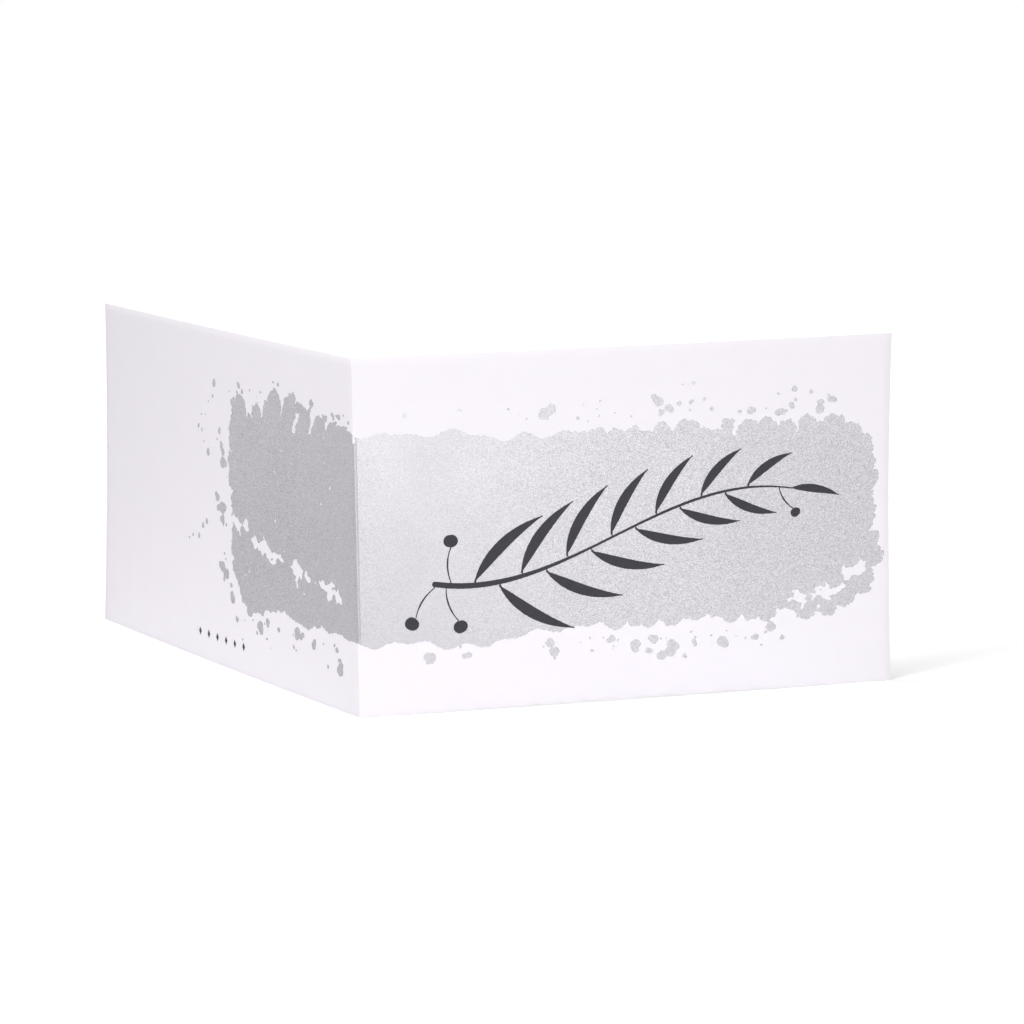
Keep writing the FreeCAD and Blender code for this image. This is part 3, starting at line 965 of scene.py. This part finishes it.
def sprig_strokes():
    shares = np.linspace(0, 1, 70)
    pressure = 1 + 0.25 * np.sin(9 * shares + 0.6)
    stem_widths = [stem_half_width(share) for share in shares] * pressure
    strokes = [([stem_at(share)[0] for share in shares], stem_widths)]
    for index in range(LEAVES):
        side = 1 if index % 2 == 0 else -1
        share = (index + 1.6) / (LEAVES + 2.4)
        middle, root, heading = beside_stem(share, side, LEAF_ANGLE * (1 - 0.3 * share))
        length = LEAF_LENGTH * (1 - 0.5 * share)
        belly = LEAF_BELLY * (1 - 0.3 * share)
        strokes.append(([middle, root + heading * 0.6], [HAIRLINE, HAIRLINE]))
        strokes.append(bowed(root, root + heading * length, 0.08 * length * side, belly, 0.5))
    for share, side, angle in BERRIES:
        middle, root, heading = beside_stem(share, side, angle)
        radius = BERRY_RADIUS * (1 - 0.3 * share)
        stalk = STALK_LENGTH * (1 - 0.3 * share)
        strokes.append(([middle, root], [HAIRLINE, HAIRLINE]))
        stalk_end = root + heading * (stalk + STROKE_GAP)
        strokes.append(bowed(root, stalk_end, 0.1 * stalk * side, STROKE_GAP, 0.0))
        centre = root + heading * (stalk + STROKE_GAP + radius)
        lean = left_of(heading) * 0.14 * radius
        strokes.append(([centre - lean, centre + lean], [0.9 * radius, 0.86 * radius]))
    point, along = stem_at(1)
    tip_length = 0.5 * LEAF_LENGTH
    tip = point + along * (STROKE_GAP + tip_length)
    strokes.append(bowed(point, tip, 0.06 * tip_length, 0.7 * LEAF_BELLY, 0.4))
    return strokes


# %% Lay the sprig over the silver
SPRIG_THICKNESS = 0.055


def sprig_field(across, up):
    field = np.full(np.broadcast(across, up).shape, -1.0)
    for path, widths in sprig_strokes():
        field = dabbed(field, across, up, path, widths)
    return field + INK_EDGE * ruffle(across, up, 0.9, 31)


sprig = ink_film(
    "charcoal_sprig", sprig_field, low=(14.0, 18.0), high=(166.0, 98.0),
    pitch=0.16, mesh_step=6.0, thickness=SPRIG_THICKNESS, material=charcoal_ink,
)
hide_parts("ink_sprig")

# %% [markdown]
# The row on the back
#
# A card often carries a small mark low on its back. Here it is a row of six plain lozenges in
# the same charcoal ink, 2.8 mm high. A lozenge is the simplest field of all: half its height
# less the two distances from its middle.

# %% Lay the lozenges
LOZENGES = 6
LOZENGE_HEIGHT, LOZENGE_PITCH = 2.8, 5.8
LOZENGE_SLIM = 0.6
MARK_UP = 9.0


def lozenge_field(across, up):
    field = np.full(np.broadcast(across, up).shape, -1.0)
    half_high = LOZENGE_HEIGHT / 2
    for index in range(LOZENGES):
        middle = -CLOSED_WIDTH / 2 + (index - (LOZENGES - 1) / 2) * LOZENGE_PITCH
        slope = np.abs(across - middle) / LOZENGE_SLIM + np.abs(up - MARK_UP)
        field = np.maximum(field, (half_high - slope) * math.cos(math.atan(1 / LOZENGE_SLIM)))
    return field


lozenges = ink_film(
    "charcoal_lozenges", lozenge_field, low=(-105.0, 5.0), high=(-65.0, 13.0),
    pitch=0.1, mesh_step=1.0, thickness=SILVER_THICKNESS, material=charcoal_ink,
)
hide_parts("back_mark")

# %% [markdown]
# The floor and the room
#
# The card stands on white paper in a white room. The floor is a plain diffuse white. Seen by
# the camera it also glows, a little near the card and fully where the lamps no longer reach, so
# that it is white wherever no shadow falls, and the card's soft shadow still darkens it. The
# room is dim to the board, so that white board isn't burnt out, and white to the camera and in
# reflections.

# %% White floor that keeps the shadow
FLOOR_REACH = 6.0
NEAR_GLOW, FAR_GLOW = 0.23, 1.0
NEAR_REACH, FAR_REACH = 0.25, 0.5


def seen_directly(tree):
    """1 for the camera, reflections and glass, and 0 for light that falls on a surface."""
    ray = add(tree, "ShaderNodeLightPath").outputs
    seen = ray["Is Camera Ray"]
    for other in ("Is Glossy Ray", "Is Transmission Ray"):
        seen = add(tree, "ShaderNodeMath", {0: seen, 1: ray[other]}, operation="MAXIMUM").outputs[0]
    return seen


def floor_finish():
    material = bpy.data.materials.new("white_paper_sweep")
    material.use_nodes = True
    tree = material.node_tree
    tree.nodes.clear()
    paper = add(tree, "ShaderNodeBsdfDiffuse", {"Color": linear("#f6f6f6")})
    where = add(tree, "ShaderNodeTexCoord").outputs["Object"]
    away = add(tree, "ShaderNodeVectorMath", {0: where}, operation="LENGTH").outputs["Value"]
    brighter = add(tree, "ShaderNodeMapRange", {
        "Value": away, "From Min": NEAR_REACH, "From Max": FAR_REACH,
        "To Min": NEAR_GLOW, "To Max": FAR_GLOW,
    }, interpolation_type="SMOOTHSTEP")
    glow = add(tree, "ShaderNodeMath", {
        0: seen_directly(tree), 1: brighter.outputs["Result"],
    }, operation="MULTIPLY")
    light = add(tree, "ShaderNodeEmission", {"Strength": glow.outputs[0]})
    both = add(tree, "ShaderNodeAddShader", {0: paper.outputs[0], 1: light.outputs[0]})
    add(tree, "ShaderNodeOutputMaterial", {"Surface": both.outputs[0]})
    return material


def make_floor():
    mesh = bpy.data.meshes.new("floor")
    corners = [(-1, -1), (1, -1), (1, 1), (-1, 1)]
    mesh.from_pydata([(FLOOR_REACH * x, FLOOR_REACH * y, 0.0) for x, y in corners], [], [(0, 1, 2, 3)])
    mesh.materials.append(floor_finish())
    floor = bpy.data.objects.new("floor", mesh)
    bpy.context.scene.collection.objects.link(floor)


make_floor()

# %% Dim room that looks white
ROOM_LIGHT = 0.2


def make_room():
    world = bpy.data.worlds.new("white_room")
    bpy.context.scene.world = world
    world.use_nodes = True
    tree = world.node_tree
    tree.nodes.clear()
    strength = add(tree, "ShaderNodeMapRange", {
        "Value": seen_directly(tree), "To Min": ROOM_LIGHT, "To Max": 1.0,
    })
    room = add(tree, "ShaderNodeBackground", {
        "Color": linear("#ffffff"), "Strength": strength.outputs["Result"],
    })
    add(tree, "ShaderNodeOutputWorld", {"Surface": room.outputs[0]})


make_room()

# %% [markdown]
# Lamps
#
# A large soft box stands low on the right, beyond the camera. The silver on the front cover
# mirrors it and is much brighter for it than the silver on the back. A smaller one stands high
# on the left and throws the faint wedge of shadow that leaves the card's right end. A third
# hangs overhead and lights the floor, whose white comes back up into both covers' lower halves.
# Together they leave white board just under white.

# %% Three soft boxes
CARD_MIDDLE = Vector((0.02, 0.03, 0.055))


def soft_box(name, azimuth, elevation, distance, size, watts):
    """A square lamp that faces the card. Azimuth 0 is in front of the fold, and grows to the right."""
    a, e = math.radians(azimuth), math.radians(elevation)
    back = Vector((math.sin(a) * math.cos(e), -math.cos(a) * math.cos(e), math.sin(e)))
    lamp = bpy.data.lights.new(name, "AREA")
    lamp.shape = "SQUARE"
    lamp.size = size
    lamp.energy = watts
    holder = bpy.data.objects.new(name, lamp)
    holder.location = CARD_MIDDLE + back * distance
    holder.rotation_mode = "QUATERNION"
    holder.rotation_quaternion = back.to_track_quat("Z", "Y")
    holder.visible_camera = False
    bpy.context.scene.collection.objects.link(holder)


soft_box("low_right_soft_box", azimuth=40, elevation=3, distance=1.15, size=0.6, watts=7.3)
soft_box("left_soft_box", azimuth=-31, elevation=50, distance=1.2, size=0.3, watts=3.0)
soft_box("overhead_soft_box", azimuth=-50, elevation=80, distance=0.7, size=0.4, watts=4.0)

# %% [markdown]
# The camera
#
# The camera is a long lens a little above the card and to its right, so that the front cover
# is seen nearly square and the back cover at a slant. Its place was found from the card's own
# corners in the picture, so the render can be laid over it.

# %% Camera
CAMERA_PLACE = Vector((0.38158, -0.83803, 0.24027))
CAMERA_AZIMUTH = math.radians(21.56)
CAMERA_PITCH = math.radians(10.915)
CAMERA_ROLL = math.radians(-0.809)
PICTURE_WIDTH = 1024
FOCAL_PIXELS = 3130.42


def make_camera():
    lens = bpy.data.cameras.new("camera")
    lens.sensor_width = 36.0
    lens.lens = FOCAL_PIXELS / PICTURE_WIDTH * lens.sensor_width
    lens.clip_start = 0.05
    lens.clip_end = 50.0
    level = math.cos(CAMERA_PITCH)
    forward = Vector((
        -math.sin(CAMERA_AZIMUTH) * level,
        math.cos(CAMERA_AZIMUTH) * level,
        -math.sin(CAMERA_PITCH),
    ))
    right = Vector((math.cos(CAMERA_AZIMUTH), math.sin(CAMERA_AZIMUTH), 0))
    above = right.cross(forward)
    rolled_right = math.cos(CAMERA_ROLL) * right + math.sin(CAMERA_ROLL) * above
    rolled_up = math.cos(CAMERA_ROLL) * above - math.sin(CAMERA_ROLL) * right
    turned = Matrix((rolled_right, rolled_up, -forward)).transposed()
    camera = bpy.data.objects.new("camera", lens)
    camera.matrix_world = Matrix.Translation(CAMERA_PLACE) @ turned.to_4x4()
    bpy.context.scene.collection.objects.link(camera)
    bpy.context.scene.camera = camera


make_camera()
bpy.context.scene.view_settings.view_transform = "Standard"
